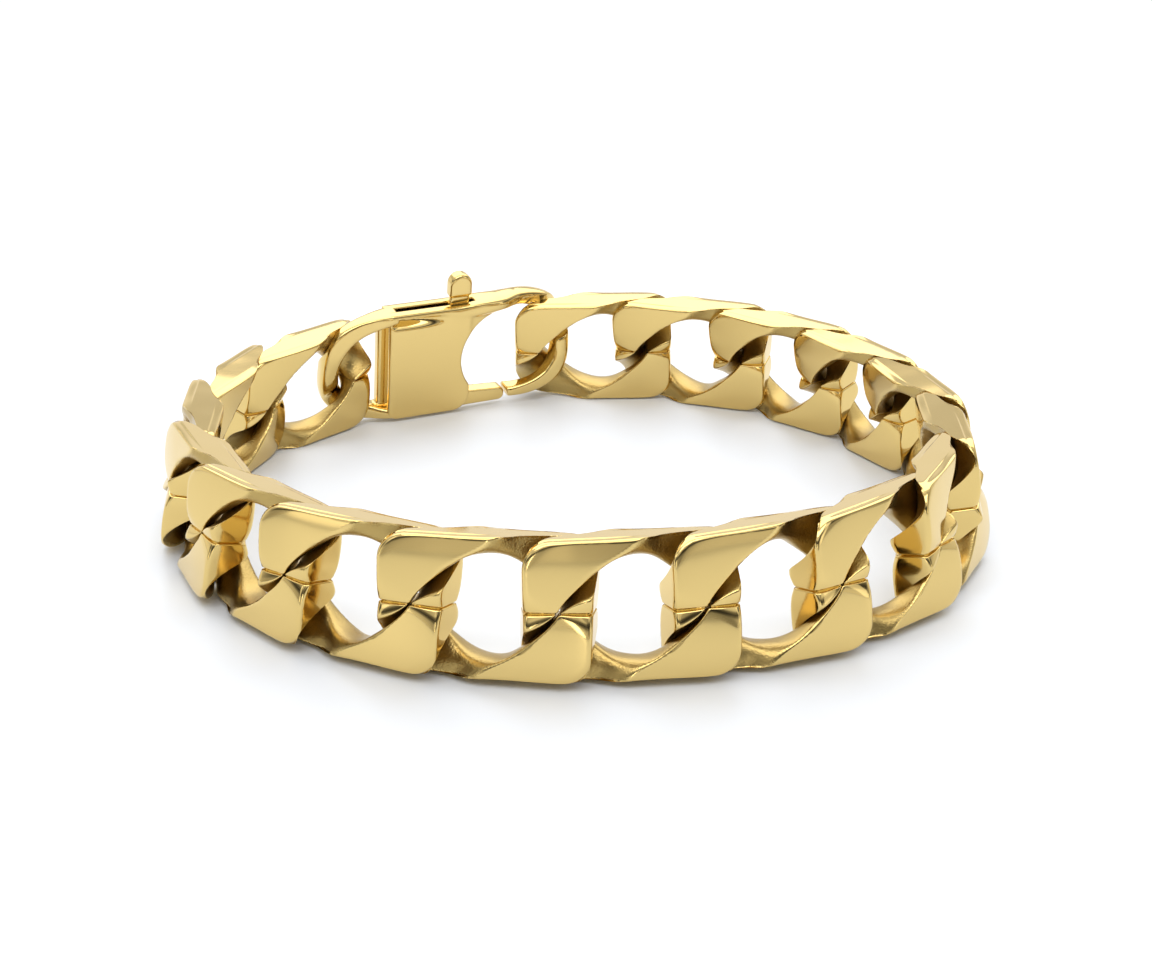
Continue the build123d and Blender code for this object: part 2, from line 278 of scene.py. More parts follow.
def slit_depth(point, half_length):
    """The depth of the cut across a link's end: a fine slit between shoulders that widen to the tip."""
    outer_share = (abs(point.x) - HALF_PITCH) / (half_length - HALF_PITCH)
    if outer_share < 0:
        return 0.0
    shoulder = SHOULDER_WIDTH + SHOULDER_WIDENING * outer_share ** 2
    cut = SLIT_DEPTH * min(SLIT_FADE * outer_share, 1) * math.exp(-(point.y / SLIT_WIDTH) ** 2)
    shoulder_share = blended(SHOULDER_START, 1, outer_share)
    return cut + SHOULDER_DEPTH * shoulder_share * math.exp(-(point.y / shoulder) ** 2)


def face_drop(point, half_length, middle_y, half_height, crown):
    """How far a face is buffed down at a point: a little towards its panel's edges, more at the corners.

    Along the face the crown starts halfway to the end, and across it each panel has its own middle."""
    beyond = max(abs(point[0]) / half_length - 0.5, 0) * 2
    aside = abs(abs(point[1] - middle_y) / half_height - 0.5) * 2
    away = beyond ** 2 + aside ** 2
    corner_share = min(max(away - CORNER_FROM, 0) / (2 - CORNER_FROM), 1)
    return crown * (min(away, 2) / 2 + CORNER_DROP * corner_share ** 2)


def ground_flat(point, half_length, bottom, top, half_thickness, corner, crown):
    """Press a point onto a slab with round corners, narrow round edges and crowned faces."""
    middle_y = (top + bottom) / 2
    half_height = (top - bottom) / 2
    away = (abs(point[0]), abs(point[1] - middle_y))
    core = (min(away[0], half_length - corner), min(away[1], half_height - corner))
    over = math.dist(away, core)
    reach = corner - EDGE_RADIUS
    if over > reach:
        core = [inside + (value - inside) * reach / over for inside, value in zip(core, away)]
    else:
        core = away
    face = half_thickness - face_drop(point, half_length, middle_y, half_height, crown) - EDGE_RADIUS
    nearest = (math.copysign(core[0], point[0]), middle_y + math.copysign(core[1], point[1] - middle_y),
               min(max(point[2], -face), face))
    offset = [value - close for value, close in zip(point, nearest)]
    distance = math.hypot(*offset)
    if distance == 0:
        return point
    share = soft_excess(distance - EDGE_RADIUS, EDGE_BLEND) / distance
    return tuple(value - share * step for value, step in zip(point, offset))


print("a face is buffed down by mm at most", round(face_drop((1, 1), 1, 0, 1, FACE_CROWN), 3))

# %% [markdown]
# Now the ring itself. A circle of points is spun round z into a plain tube, and every point of it is moved
# by the functions above. The rows of points are crowded at the two ends, where the strand bends most and
# the slit is cut, and spread over the quarters between. A cage under a subdivision modifier needs fewer
# points, but it rounds every edge alike, and these faces have to stay flat up to narrow edges. How much
# of the cast skin is left at a point is kept with the mesh: where metal was ground off, it is bright, and
# where it wasn't, in the holes, the gold is painted darker as painted shade.

# %% Spin and twist one link
LINK_STATIONS = 232
SECTION_SIDES = 64
SPIN_RADIUS = 3.0
TUBE_RADIUS = 1.0
END_CROWDING = 0.3
QUARTER_SPREADING = 0.45
SMOOTHING_PASSES = 3
POLISH_DEPTH = 0.03


def spun_ring(stations, sides, first=0.0, last=math.tau):
    """A plain tube spun round z from one angle to another, with its inside towards the axis."""
    mesh = bmesh.new()
    full_turn = last - first >= math.tau
    circle = bmesh.ops.create_circle(mesh, segments=sides, radius=TUBE_RADIUS)["verts"]
    upright = Matrix.Rotation(math.pi / 2, 4, "X")
    start = Matrix.Rotation(first, 4, "Z") @ Matrix.Translation((SPIN_RADIUS, 0, 0)) @ upright
    bmesh.ops.transform(mesh, matrix=start, verts=circle)
    bmesh.ops.spin(mesh, geom=mesh.verts[:] + mesh.edges[:], axis=(0, 0, 1), cent=(0, 0, 0),
                   angle=last - first, steps=stations, use_merge=full_turn)
    return mesh


def smoothed(mesh, passes):
    """Move every point halfway to the middle of its neighbours, once in each pass."""
    for _ in range(passes):
        bmesh.ops.smooth_vert(mesh, verts=mesh.verts, factor=0.5,
                              use_axis_x=True, use_axis_y=True, use_axis_z=True)


def shape_ring(mesh, ring, flex_angle, slab):
    """Move every point of a spun tube to its place on the twisted, smoothed and ground ring."""
    for vertex in mesh.verts:
        x, y, z = vertex.co
        angle = math.atan2(y, x)
        turn = math.atan2(z, math.hypot(x, y) - SPIN_RADIUS)
        angle -= END_CROWDING / 2 * math.sin(2 * angle) + QUARTER_SPREADING / 4 * math.sin(4 * angle)
        vertex.co = ring_point(angle, turn, ring, flex_angle)
    smoothed(mesh, SMOOTHING_PASSES)
    # This share also masks painted shade: the gold is painted darker where no metal was ground off, in the
    # holes.
    cast_skin_and_painted_shade = mesh.verts.layers.float.new("cast_skin_and_painted_shade")
    for vertex in mesh.verts:
        ground = ground_flat(vertex.co, *slab)
        vertex[cast_skin_and_painted_shade] = 1 - min(math.dist(ground, vertex.co) / POLISH_DEPTH, 1)
        vertex.co = ground
    bmesh.ops.recalc_face_normals(mesh, faces=mesh.faces)


link_mesh = spun_ring(LINK_STATIONS, SECTION_SIDES)
LINK_SLAB = (LINK_LENGTH / 2, -BAND_HEIGHT / 2, BAND_HEIGHT / 2, BAND_THICKNESS / 2,
             CORNER_RADIUS, FACE_CROWN)
shape_ring(link_mesh, LINK_RING, LINK_FLEX, LINK_SLAB)
link_mesh.normal_update()
cuts = [vertex.normal * slit_depth(vertex.co, LINK_LENGTH / 2) for vertex in link_mesh.verts]
for vertex, cut in zip(link_mesh.verts, cuts):
    vertex.co -= cut
print("link points", len(link_mesh.verts), "volume in mm3", round(link_mesh.calc_volume(), 1))

# %% [markdown]
# All links are cast from one master, so one mesh is enough. A copy of it is carried to each place, and the
# place goes into the mesh itself: the object stays at the origin, where the patterns expect it.

# %% Copy the link round the loop


def finished_piece(name, mesh, place, body, node):
    """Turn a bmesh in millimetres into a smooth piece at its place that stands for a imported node."""
    data = bpy.data.meshes.new(name)
    mesh.to_mesh(data)
    data.transform(place @ Matrix.Scale(MM, 4))
    data.shade_smooth()
    piece = bpy.data.objects.new(name, data)
    bpy.context.scene.collection.objects.link(piece)
    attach(piece, body)
    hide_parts(node)
    return piece


chain = [finished_piece("curb_" + name, link_mesh, place_of[name], "bracelet", name) for name in LINKS]
for piece, name in zip(chain, LINKS):
    low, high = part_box(name)
    points = [vertex.co for vertex in piece.data.vertices]
    spill = max(max(low[axis] - point[axis], point[axis] - high[axis])
                for point in points for axis in range(3))
    print(piece.name, "reaches past its packed link by mm", round(spill / MM, 3))
link_mesh.free()

# %% [markdown]
# The clasp is a cast plate with a hook on one side and a closed bail on the other. It is easiest to rough
# out as plain blocks, cut the throat and the slot through them, and let a remesh melt the parts into one
# skin. Smoothing then rounds every edge a little, as tumbling and polishing do on the real casting.

# %% Place of the clasp
CLASP_THICKNESS = 3.2
PIVOT = Vector((1.4, -3.5, 0))

hinge = frame["joints"][0]
clasp_outward = -Vector(hinge["axis"]).normalized()
clasp_along = Vector((0, 0, 1)).cross(Vector((clasp_outward.x, clasp_outward.y, 0)).normalized())
clasp_up = clasp_outward.cross(clasp_along)
clasp_turned = Matrix((clasp_along, clasp_up, clasp_outward)).transposed().to_4x4()
clasp_place = Matrix.Translation(Vector(hinge["pos_m"])) @ clasp_turned @ Matrix.Translation(-PIVOT * MM)
print("clasp middle in mm", [round(value / MM, 2) for value in clasp_place.translation])

# %% Blocks to rough out with
CORNER_SEGMENTS = 10
RIM_SEGMENTS = 3
DISC_SIDES = 96


def rise(edge):
    """How far apart an edge's two ends lie across the band."""
    return abs(edge.verts[0].co.z - edge.verts[1].co.z)


def rounded(mesh, edges, radius, segments):
    bmesh.ops.bevel(mesh, geom=edges, offset=radius, affect="EDGES", segments=segments, profile=0.5,
                    material=-1)


def block(x_from, x_to, y_from, y_to, half_depth, corner=0.0, rim=0.0, z_middle=0.0):
    """A slab with rounded upright corners and a narrow rounded rim."""
    mesh = bmesh.new()
    bmesh.ops.create_cube(mesh, size=1)
    bmesh.ops.scale(mesh, vec=(x_to - x_from, y_to - y_from, 2 * half_depth), verts=mesh.verts)
    bmesh.ops.translate(mesh, vec=((x_from + x_to) / 2, (y_from + y_to) / 2, z_middle), verts=mesh.verts)
    if corner:
        rounded(mesh, [edge for edge in mesh.edges if rise(edge) > half_depth], corner, CORNER_SEGMENTS)
    if rim:
        rounded(mesh, [edge for edge in mesh.edges if rise(edge) < rim / 10], rim, RIM_SEGMENTS)
    return mesh


def disc(x_middle, y_middle, radius, half_depth, z_middle=0.0, rim=0.0):
    """A round slab, with its axis across the band."""
    mesh = bmesh.new()
    bmesh.ops.create_cone(mesh, cap_ends=True, segments=DISC_SIDES, radius1=radius, radius2=radius,
                          depth=2 * half_depth)
    bmesh.ops.translate(mesh, vec=(x_middle, y_middle, z_middle), verts=mesh.verts)
    if rim:
        rounded(mesh, [edge for edge in mesh.edges if rise(edge) < rim / 10], rim, RIM_SEGMENTS)
    return mesh


def closed(mesh):
    """Fill a mesh's open ends and turn all its faces outwards."""
    bmesh.ops.holes_fill(mesh, edges=[edge for edge in mesh.edges if edge.is_boundary], sides=0)
    bmesh.ops.recalc_face_normals(mesh, faces=mesh.faces)
    return mesh


def capped_ring(ring, flex_angle, slab, first, last, stations, sides):
    """A stretch of a twisted ring in its own frame, closed at both ends."""
    mesh = spun_ring(stations, sides, math.radians(first), math.radians(last))
    shape_ring(mesh, ring, flex_angle, slab)
    return closed(mesh)


sample = block(0, 3, 0, 2, 0.5, corner=0.4, rim=0.1)
print("a block of 3 by 2 by 1 mm with round edges holds mm3", round(sample.calc_volume(), 2))
sample.free()

# %% [markdown]
# A casting has no seams between its parts, and a voxel remesh gives that: it wraps all parts in one even
# skin. The cuts come after it, because a boolean cut needs one closed body, and a second remesh makes the
# points even again for the smoothing. Booleans alone would leave sharp seams and long thin faces, which a
# polished metal shows at once.

# %% Melt parts together


def rough_object(name, mesh):
    """Turn a bmesh into an object of its own, for modifiers to work on or with."""
    data = bpy.data.meshes.new(name)
    mesh.to_mesh(data)
    mesh.free()
    made = bpy.data.objects.new(name, data)
    bpy.context.scene.collection.objects.link(made)
    return made


def wrap(thing, name, voxel):
    remesh = thing.modifiers.new(name, "REMESH")
    remesh.mode = "VOXEL"
    remesh.voxel_size = voxel


def melted(parts, cutters, voxel, smoothing):
    """One smooth skin round all parts, with the cutters taken out of it."""
    whole = bmesh.new()
    for part in parts:
        part_data = bpy.data.meshes.new("part")
        part.to_mesh(part_data)
        part.free()
        whole.from_mesh(part_data)
    rough = rough_object("rough", whole)
    wrap(rough, "melt", voxel)
    tools = [rough_object("tool", cutter) for cutter in cutters]
    for tool in tools:
        cut = rough.modifiers.new("cut", "BOOLEAN")
        cut.operation = "DIFFERENCE"
        cut.object = tool
        cut.solver = "EXACT"
    wrap(rough, "melt_again", voxel)
    shown = rough.evaluated_get(bpy.context.evaluated_depsgraph_get())
    skin = bmesh.new()
    skin.from_mesh(bpy.data.meshes.new_from_object(shown))
    for thing in [rough] + tools:
        bpy.data.objects.remove(thing)
    smoothed(skin, smoothing)
    bmesh.ops.recalc_face_normals(skin, faces=skin.faces)
    return skin


sample = melted([block(0, 2, 0, 2, 1), block(1, 3, 0, 1, 1)], [disc(1, 1, 0.5, 2)], 0.2, 1)
print("two blocks with a hole melt into a skin of faces", len(sample.faces))
sample.free()

# %% [markdown]
# The plate carries the throat, a round bite that the end link lies in, and a slot along its top in which
# the lever moves. Its top edge is a thicker rail, so the face under it looks sunk. The arm of the rail
# runs on over the throat and becomes the hook. The hook and the bail are stretches of twisted ring like a
# link's, so that they stand in the row as one more link would. All sizes are in millimetres.

# %% Sizes of the clasp
PLATE_BACK = 6.75
PLATE_FOOT = -2.65
PLATE_TOP = 6.9
PLATE_BOTTOM = -5.7
PLATE_HALF = CLASP_THICKNESS / 2 - 0.1
PLATE_CORNER = 1.1
FOOT_CORNER = 2.3
RAIL_HEIGHT = 1.0
ARM_TIP = -9.9
ARM_RISE = 0.4
THROAT_MIDDLE = (-6.75, 0.5)
THROAT_RADIUS = 5.2
HOOK_MIDDLE = -6.05
BAIL_MIDDLE = 6.05
SLOT = (-3.2, 6.5)
SLOT_FOOT = -1.0
SLOT_TOP = PLATE_TOP + 2
SLOT_CORNER = 0.35
SLOT_HALF = 0.48
POCKET = (-4.2, 1.4, -5.5, -0.8)
POCKET_HALF = 0.95
CLASP_FLEX = 14.0
BAIL_RING = {
    "middle": (PLATE_TOP + PLATE_BOTTOM) / 2,
    "length": 16.2,
    "height": PLATE_TOP - PLATE_BOTTOM,
    "outline_squareness": 2.8,
    "hole_length": 12.0,
    "hole_height": PLATE_TOP - PLATE_BOTTOM - 2.6,
    "hole_squareness": 2.2,
    "end_half": 0.38 * CLASP_THICKNESS,
    "middle_half": 0.46 * CLASP_THICKNESS,
    "lobe_half": 0.32 * CLASP_THICKNESS,
    "lobe_offset": 0.24 * CLASP_THICKNESS,
    "end_squareness": 2.8,
    "middle_squareness": 4.0,
}
HOOK_RING = {
    **BAIL_RING,
    "middle": 1.1,
    "length": 17.2,
    "height": 12.4,
    "hole_length": 13.4,
    "hole_height": 9.8,
    "hole_squareness": 2.6,
    "middle_half": 0.36 * CLASP_THICKNESS,
    "middle_squareness": 2.8,
}
BAIL_SLAB = (8.1, PLATE_BOTTOM, PLATE_TOP, CLASP_THICKNESS / 2, CORNER_RADIUS, 0)
HOOK_SLAB = (8.6, PLATE_BOTTOM, PLATE_TOP + ARM_RISE, CLASP_THICKNESS / 2, CORNER_RADIUS, 0)
print("the clasp plate is", PLATE_BACK - PLATE_FOOT, "by", round(PLATE_TOP - PLATE_BOTTOM, 2), "mm")

# %% [markdown]
# The rail and the arm are one bar. It is square above the plate, grows rounder as it runs out over the
# throat, and gets slimmer and bows down at its tip. A circle drawn out along x in even steps gives the
# points, and each of them is then set onto the section that the bar has there. A curve object with a
# bevel has one section all along, so it can't change from square to round.

# %% Rail and arm
RAIL_STATIONS = 80
RAIL_SIDES = 48
RAIL_SQUARENESS = 8
ARM_ROUNDING = 5.2
ARM_THICKENING = 0.35
ARM_THINNING = 0.15
TIP_START = 7.6
TIP_LENGTH = 2.3
TIP_TOP_DROP = 1.1
TIP_FOOT_DROP = 0.5
TIP_THINNING = 0.75
TIP_SHIFT = 0.6
RISE_STRETCH = (0, 8)
THICKENING_STRETCH = (0, 3)
THINNING_STRETCH = (3.6, 7.5)
ROUNDING_STRETCH = (1.5, 6)
TAPER_STRETCH = (5.5, -ARM_TIP)


def rail_size(x):
    """The rail's section at a place along it: top, bottom, half depth, shift outwards and squareness."""
    along = -x
    bow = (max(along - TIP_START, 0) / TIP_LENGTH) ** 2
    taper = smooth_step(along, *TAPER_STRETCH)
    top = PLATE_TOP + ARM_RISE * smooth_step(along, *RISE_STRETCH) - TIP_TOP_DROP * bow
    bottom = PLATE_TOP - RAIL_HEIGHT - ARM_THICKENING * smooth_step(along, *THICKENING_STRETCH)
    bottom += ARM_THINNING * smooth_step(along, *THINNING_STRETCH)
    bottom -= TIP_FOOT_DROP * bow
    half_depth = CLASP_THICKNESS / 2 - TIP_THINNING * taper
    squareness = RAIL_SQUARENESS - ARM_ROUNDING * smooth_step(along, *ROUNDING_STRETCH)
    return top, bottom, half_depth, TIP_SHIFT * taper, squareness


rail = bmesh.new()
circle = bmesh.ops.create_circle(rail, segments=RAIL_SIDES, radius=1)["verts"]
facing_along = Matrix.Translation((PLATE_BACK, 0, 0)) @ Matrix.Rotation(math.pi / 2, 4, "Y")
bmesh.ops.transform(rail, matrix=facing_along, verts=circle)
bmesh.ops.spin(rail, geom=rail.verts[:] + rail.edges[:], axis=(1, 0, 0), cent=(0, 0, 0), angle=0,
               steps=RAIL_STATIONS, dvec=((ARM_TIP - PLATE_BACK) / RAIL_STATIONS, 0, 0), use_merge=False)
for vertex in rail.verts:
    top, bottom, half_depth, shift, squareness = rail_size(vertex.co.x)
    turn = math.atan2(vertex.co.z, vertex.co.y)
    up, across = rounded_box_point(turn, (top - bottom) / 2, half_depth, squareness)
    vertex.co.y = (top + bottom) / 2 + up
    vertex.co.z = shift + across
closed(rail)
print("rail points", len(rail.verts))

# %% [markdown]
# On the inner side a step sinks the plate under the rail, deepest towards the bail, and the rail's own
# face leans back a little. Both are low relief, so the points of the finished skin are moved instead of
# cutting a step into the block: the slopes then run out softly, as file and wheel leave them.

# %% Relief of the plate
LEDGE_TOP = 6.4
LEDGE_DEPTH = 1.0
LEDGE_HEIGHT = 0.3
LEDGE_FADE = 1.1
LEDGE_STRETCH = (-1, 5)
LEDGE_END_STRETCH = (0.1, 0.7)
RAIL_FOOT = 6.1
RAIL_LEAN = math.tan(math.radians(13))
LEAN_STRETCH = (-5, 0)


def rounded_foot(mesh):
    """Round the plate's lower corner below the gate more than the others, in the outline's plane."""
    middle = (PLATE_FOOT + FOOT_CORNER, PLATE_BOTTOM + FOOT_CORNER)
    for vertex in mesh.verts:
        away = (middle[0] - vertex.co.x, middle[1] - vertex.co.y)
        if min(away) > 0 and math.hypot(*away) > FOOT_CORNER:
            share = FOOT_CORNER / math.hypot(*away)
            vertex.co.x = middle[0] - away[0] * share
            vertex.co.y = middle[1] - away[1] * share
    return mesh


def ledge_depth(x, y):
    """How far the plate is sunk under the rail: a slope below it that fades down and towards the arm."""
    under = LEDGE_TOP - y
    if under < 0:
        return 0.0
    slope = min(under / LEDGE_HEIGHT, 1) * (1 - smooth_step(under, LEDGE_HEIGHT, LEDGE_HEIGHT + LEDGE_FADE))
    slope *= LEDGE_DEPTH * smooth_step(x, *LEDGE_STRETCH)
    return slope * smooth_step(PLATE_BACK - x, *LEDGE_END_STRETCH)


def rail_slope(x, y):
    """How far the rail's inner face leans back above its foot, so that it mirrors the dark far wall."""
    return RAIL_LEAN * max(y - RAIL_FOOT, 0) * smooth_step(x, *LEAN_STRETCH)


print("the step under the rail is deep by mm", round(ledge_depth(5, LEDGE_TOP - LEDGE_HEIGHT), 2))

# %% [markdown]
# The plate is roughed out as a block with a web that fills the corner under the arm. A disc bites the
# throat out of both, and two narrow blocks cut the slot for the lever's neck and the pocket for its hub.
# The web gets thinner towards its end, so that it doesn't stick out of the arm.

# %% Plate
CLASP_VOXEL = 0.1
CUTTER_HALF = 4.0
PLATE_SUNK = 0.3
PLATE_RIM = 0.35
PLATE_SMOOTHING = 3
WEB_TIP = -7.0
WEB_OVERLAP = 1.5
WEB_FOOT = PLATE_TOP - 4.0
WEB_TOP = PLATE_TOP - 0.5
WEB_RIM = 0.3
WEB_TAPER = 0.6

plate_block = block(PLATE_FOOT, PLATE_BACK, PLATE_BOTTOM, PLATE_TOP - PLATE_SUNK, PLATE_HALF,
                    corner=PLATE_CORNER, rim=PLATE_RIM)
web = block(WEB_TIP, PLATE_FOOT + WEB_OVERLAP, WEB_FOOT, WEB_TOP, PLATE_HALF, rim=WEB_RIM)
for vertex in web.verts:
    if vertex.co.x < PLATE_FOOT:
        vertex.co.z *= WEB_TAPER
plate_cutters = [
    disc(*THROAT_MIDDLE, THROAT_RADIUS, CUTTER_HALF),
    block(*SLOT, SLOT_FOOT, SLOT_TOP, SLOT_HALF, corner=SLOT_CORNER),
    block(*POCKET, POCKET_HALF),
]
plate = rounded_foot(melted([plate_block, web, rail], plate_cutters, CLASP_VOXEL, PLATE_SMOOTHING))
for vertex in plate.verts:
    if vertex.co.z < -SLOT_HALF:
        vertex.co.z += ledge_depth(vertex.co.x, vertex.co.y) + rail_slope(vertex.co.x, vertex.co.y)
print("plate points", len(plate.verts))

# %% [markdown]
# The hook grows out of the arm and curls round, through the first link, to its tip. It is a stretch of a
# twisted ring, from its top round the far end to nearly its lowest point, closed at both ends. Melting it
# to the plate makes the two one casting, as in the real clasp.

# %% Hook
CLASP_SIDES = 48
HOOK_STATIONS = 130
HOOK_STRETCH = (84, 257)
CLASP_SMOOTHING = 4


def moved(mesh, offset):
    bmesh.ops.translate(mesh, vec=offset, verts=mesh.verts)
    return mesh


curl = capped_ring(HOOK_RING, CLASP_FLEX, HOOK_SLAB, *HOOK_STRETCH, HOOK_STATIONS, CLASP_SIDES)
hook = moved(curl, (HOOK_MIDDLE, 0, 0))
clasp_body = melted([plate, hook], [], CLASP_VOXEL, CLASP_SMOOTHING)
print("plate, arm and hook have triangles", 2 * len(clasp_body.faces))
finished_piece("cast_plate_and_hook", clasp_body, clasp_place, "bracelet", "clasp_body")

# %% [markdown]
# The bail is a closed loop like a D, and the last link hangs in it. Its round strand is half a twisted
# ring, and a straight bar closes it along the plate. It is a piece of its own here, since it is soldered
# on, and a joint line shows between the two.

# %% Bail
BAIL_STATIONS = 120
BAIL_STRETCH = (-95, 95)
BAIL_BAR_OVERLAP = 0.1
BAIL_BAR_WIDTH = 0.75
BAIL_BAR_FOOT = -4.9
BAIL_BAR_TOP = 6.1
BAIL_BAR_HALF = 0.6
BAIL_BAR_RIM = 0.15
BAIL_BAR_SHIFT = 0.7

half_ring = capped_ring(BAIL_RING, CLASP_FLEX, BAIL_SLAB, *BAIL_STRETCH, BAIL_STATIONS, CLASP_SIDES)
bail_strand = moved(half_ring, (BAIL_MIDDLE, 0, 0))
bail_bar = block(PLATE_BACK - BAIL_BAR_OVERLAP, PLATE_BACK + BAIL_BAR_WIDTH, BAIL_BAR_FOOT, BAIL_BAR_TOP,
                 BAIL_BAR_HALF, rim=BAIL_BAR_RIM, z_middle=BAIL_BAR_SHIFT)
bail = melted([bail_strand, bail_bar], [], CLASP_VOXEL, CLASP_SMOOTHING)
print("bail triangles", 2 * len(bail.faces))
finished_piece("cast_bail", bail, clasp_place, "bracelet", "clasp_body")

# %% [markdown]
# The lever is what the thumb moves. It turns on a rivet low in the plate: its gate closes the throat, and
# its arm runs up through the slot to a neck and a round knob. It is one casting, so its blocks and discs
# are melted together, with a finer voxel than the plate's, because the knob and the gate are small.

# %% Sizes of the lever
KNOB_X = -1.5
KNOB_TOP = 10.3
KNOB_WIDTH = 2.5
KNOB_HALF = 0.78
KNOB_RIM = 0.38
NECK_TOP = 7.75
NECK_FOOT = PLATE_TOP - 1.8
NECK_OVERLAP = 0.6
NECK_WIDTH = 2.1
NECK_HALF = 0.38
NECK_RIM = 0.1
LEVER_HALF = 0.8
LEVER_VOXEL = 0.07
ARM_TOP = KNOB_TOP - 1.5
ARM_LENGTH = ARM_TOP - PIVOT.y
ARM_WIDTH = 1.4
ARM_HALF = 0.36
ARM_RIM = 0.1
HUB_RADIUS = 1.4
BORE_RADIUS = 0.75
BORE_CUTTER_HALF = 3.0
GATE_TIP_X = -7.1
GATE_ROOT = (-5.6, -3.55)
GATE_TIP = (-5.5, -4.0)
GATE_TIP_RADIUS = 0.68
GATE_TIP_SEGMENTS = 8
GATE_RIM = 0.25
GATE_RIM_SEGMENTS = 4
print("above the rivet the knob's top lies by mm", KNOB_TOP - PIVOT.y)
print("past the rivet the gate's tip lies by mm", round(PIVOT.x - GATE_TIP_X, 2))

# %% Lever
gate = block(GATE_TIP_X, PIVOT.x, 0, 1, LEVER_HALF)
tip_edges = [edge for edge in gate.edges if rise(edge) > LEVER_HALF and edge.verts[0].co.x < PLATE_FOOT]
for vertex in gate.verts:
    share = min(max((PLATE_FOOT - vertex.co.x) / (PLATE_FOOT - GATE_TIP_X), 0), 1)
    low, high = [blended(root, tip, share) for root, tip in zip(GATE_ROOT, GATE_TIP)]
    vertex.co.y = blended(low, high, vertex.co.y)
rounded(gate, tip_edges, GATE_TIP_RADIUS, GATE_TIP_SEGMENTS)
rounded(gate, [edge for edge in gate.edges if rise(edge) < GATE_RIM / 10], GATE_RIM, GATE_RIM_SEGMENTS)

arm = block(-ARM_WIDTH / 2, ARM_WIDTH / 2, 0, ARM_LENGTH, ARM_HALF, rim=ARM_RIM)
lean = math.atan2(PIVOT.x - KNOB_X, ARM_LENGTH)
bmesh.ops.rotate(arm, cent=(0, 0, 0), matrix=Matrix.Rotation(lean, 3, "Z"), verts=arm.verts)

knob_round = KNOB_TOP - KNOB_WIDTH / 2
lever_parts = [
    gate,
    moved(arm, PIVOT),
    disc(KNOB_X, knob_round, KNOB_WIDTH / 2, KNOB_HALF, rim=KNOB_RIM),
    block(KNOB_X - KNOB_WIDTH / 2, KNOB_X + KNOB_WIDTH / 2, NECK_TOP, knob_round, KNOB_HALF, rim=KNOB_RIM),
    block(KNOB_X - NECK_WIDTH / 2, KNOB_X + NECK_WIDTH / 2, NECK_FOOT, NECK_TOP + NECK_OVERLAP, NECK_HALF,
          rim=NECK_RIM),
    disc(PIVOT.x, PIVOT.y, HUB_RADIUS, LEVER_HALF),
]
bore = disc(PIVOT.x, PIVOT.y, BORE_RADIUS, BORE_CUTTER_HALF)
lever = melted(lever_parts, [bore], LEVER_VOXEL, CLASP_SMOOTHING)
print("lever triangles", 2 * len(lever.faces))
finished_piece("cast_lever", lever, clasp_place, "lever", "clasp_lever")

# %% [markdown]
# The rivet is a short turned pin that holds the lever, ground off a little below the plate's faces. A
# plain disc with a narrow rim is all that shows of it, so it needs no remesh.

# %% Rivet
RIVET_RADIUS = 0.7
RIVET_SUNK = 0.3
RIVET_RIM = 0.1

rivet = disc(PIVOT.x, PIVOT.y, RIVET_RADIUS, CLASP_THICKNESS / 2 - RIVET_SUNK, rim=RIVET_RIM)
finished_piece("turned_rivet", rivet, clasp_place, "bracelet", "clasp_pin")
print("rivet faces", len(rivet.faces))

# %% [markdown]
# Yellow gold plating that was polished on a wheel is a mirror with a warm tint, because a metal's colour
# is the colour of its reflections. The wheel leaves slow, shallow waves. Where it can't reach, inside the
# holes, the cast skin stays: duller and finely grained. Its colour is also painted darker there, as
# painted shade in the holes. How much of the skin is left was kept with each link's points, and that
# share blends the colour, the roughness and the grain. The real grain is finer than 0.16 mm and wouldn't
# show, so it is drawn as coarse as it needs to be. One material for both keeps the change between them
# soft, which two materials side by side can't do.

# %% Colours and nodes


def linear(hex_colour):
    """An sRGB hex colour as the linear values that a shader works in."""
    values = [int(hex_colour[start:start + 2], 16) / 255 for start in (1, 3, 5)]
    bent = [value / 12.92 if value <= 0.04045 else ((value + 0.055) / 1.055) ** 2.4 for value in values]
    return (*bent, 1.0)


def node(tree, kind, settings=None, **inputs):
    """Add a node, set its options, and give each named input a value or a link from an output.

    A node may have several inputs of one name, for numbers, vectors and colours: the one in use counts."""
    made = tree.nodes.new(kind)
    for name, value in (settings or {}).items():
        setattr(made, name, value)
    for name, value in inputs.items():
        label = name.replace("_", " ")
        socket = next(socket for socket in made.inputs if socket.enabled and socket.name == label)
        if isinstance(value, bpy.types.NodeSocket):
            tree.links.new(value, socket)
        else:
            socket.default_value = value
    return made


def result_of(made):
    """The first output of a node that is in use."""
    return next(socket for socket in made.outputs if socket.enabled)


print("middle grey in linear values", [round(value, 3) for value in linear("#808080")])

# %% Gold
POLISHED_GOLD = "#e2c57f"
# The cast gold is darker than the polished gold as painted shade for the holes, where the cast skin stays.
CAST_GOLD_AND_PAINTED_SHADE = "#b59b5f"
POLISHED_ROUGHNESS = 0.09
CAST_ROUGHNESS = 0.28
GRAIN = 0.16
GRAIN_DEPTH = 0.035
WAVE = 4.0
WAVE_DEPTH = 0.03

gold = bpy.data.materials.new("gold_plate_mirror_polished")
gold.use_nodes = True
metal = gold.node_tree
shader = metal.nodes["Principled BSDF"]
shader.inputs["Metallic"].default_value = 1.0

